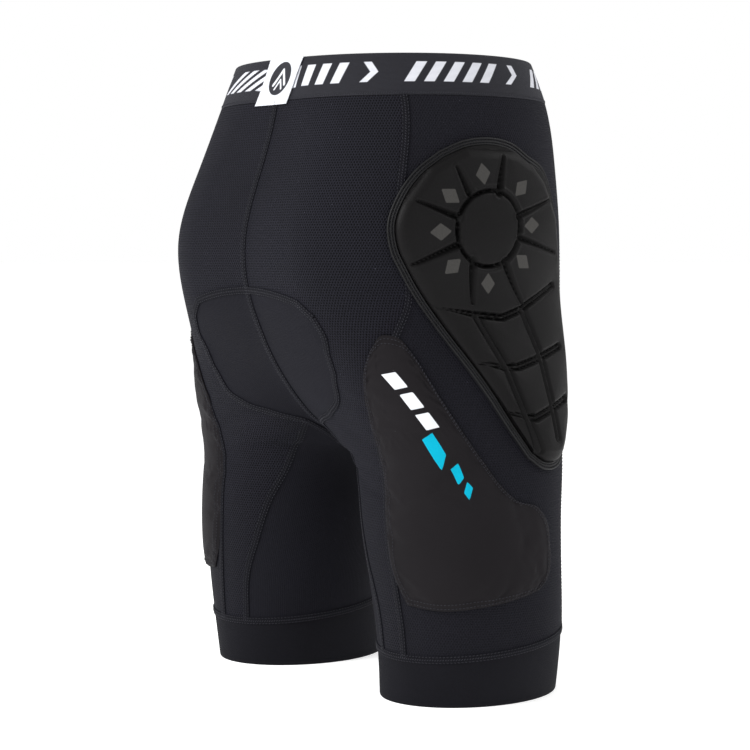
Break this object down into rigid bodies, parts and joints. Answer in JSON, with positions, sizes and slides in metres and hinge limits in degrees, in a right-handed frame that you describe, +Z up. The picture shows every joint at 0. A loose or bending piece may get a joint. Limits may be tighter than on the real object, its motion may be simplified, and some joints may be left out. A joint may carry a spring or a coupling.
{
  "type": "padded impact shorts",
  "caption": "Close-fitting padded impact shorts with moulded hip pads, thin thigh pads, a saddle gusset, hem grips and a wide elastic waistband.",
  "frame": {"origin": "on the floor plane under the middle of the shorts, level with the lower edges of both leg hems, at the centre of the bounding box", "axes": "+Z up from the hems to the waistband, +X to the wearer's left, +Y to the wearer's back, so the front faces -Y"},
  "size_m": [0.4016, 0.2754, 0.53],
  "materials": {
    "stretch_cloth": "knitted black stretch cloth",
    "perforated_cloth": "black stretch cloth with a fine eyelet knit",
    "woven_elastic": "wide woven elastic with a pale geometric weave",
    "moulded_foam": "soft moulded foam, satin",
    "pad_binding": "narrow bound edge",
    "pad_lining": "thin backing cloth",
    "pad_cover": "smooth bonded stretch cover",
    "soft_foam": "closed-cell foam sheet",
    "chamois_cloth": "brushed soft cloth",
    "grip_silicone": "printed silicone dots on tape",
    "label_cloth": "satin woven label"
  },
  "bodies": {
    "shorts": {"back_panel_right": "perforated_cloth", "back_panel_left": "perforated_cloth", "side_panel_right": "stretch_cloth", "side_panel_left": "stretch_cloth", "front_panel_right": "stretch_cloth", "front_panel_left": "stretch_cloth", "inner_thigh_panel_right": "stretch_cloth", "inner_thigh_panel_left": "stretch_cloth", "seat_gusset_right": "stretch_cloth", "seat_gusset_left": "stretch_cloth", "hem_band_right": "stretch_cloth", "hem_band_left": "stretch_cloth", "hem_gripper_right": "grip_silicone", "hem_gripper_left": "grip_silicone", "hip_pad_lining_right": "pad_lining", "hip_pad_lining_left": "pad_lining", "hip_pad_right": "moulded_foam", "hip_pad_left": "moulded_foam", "hip_pad_binding_right": "pad_binding", "hip_pad_binding_left": "pad_binding", "thigh_pad_foam_right": "soft_foam", "thigh_pad_foam_left": "soft_foam", "thigh_pad_cover_right": "pad_cover", "thigh_pad_cover_left": "pad_cover", "chamois_sit_pad_right": "soft_foam", "chamois_sit_pad_left": "soft_foam", "front_pouch": "stretch_cloth", "waistband": "woven_elastic", "waistband_label": "label_cloth", "chamois_base": "chamois_cloth", "chamois_centre_pad": "soft_foam"},
    "care_label": {"care_label": "label_cloth"}
  },
  "joints": [
    {"name": "care_label_hinge", "type": "hinge", "parent": "shorts", "child": "care_label", "pos_m": [0, 0.09516, 0.495], "axis": [-1, 0, 0], "range_deg": [-5, 85]}
  ]
}
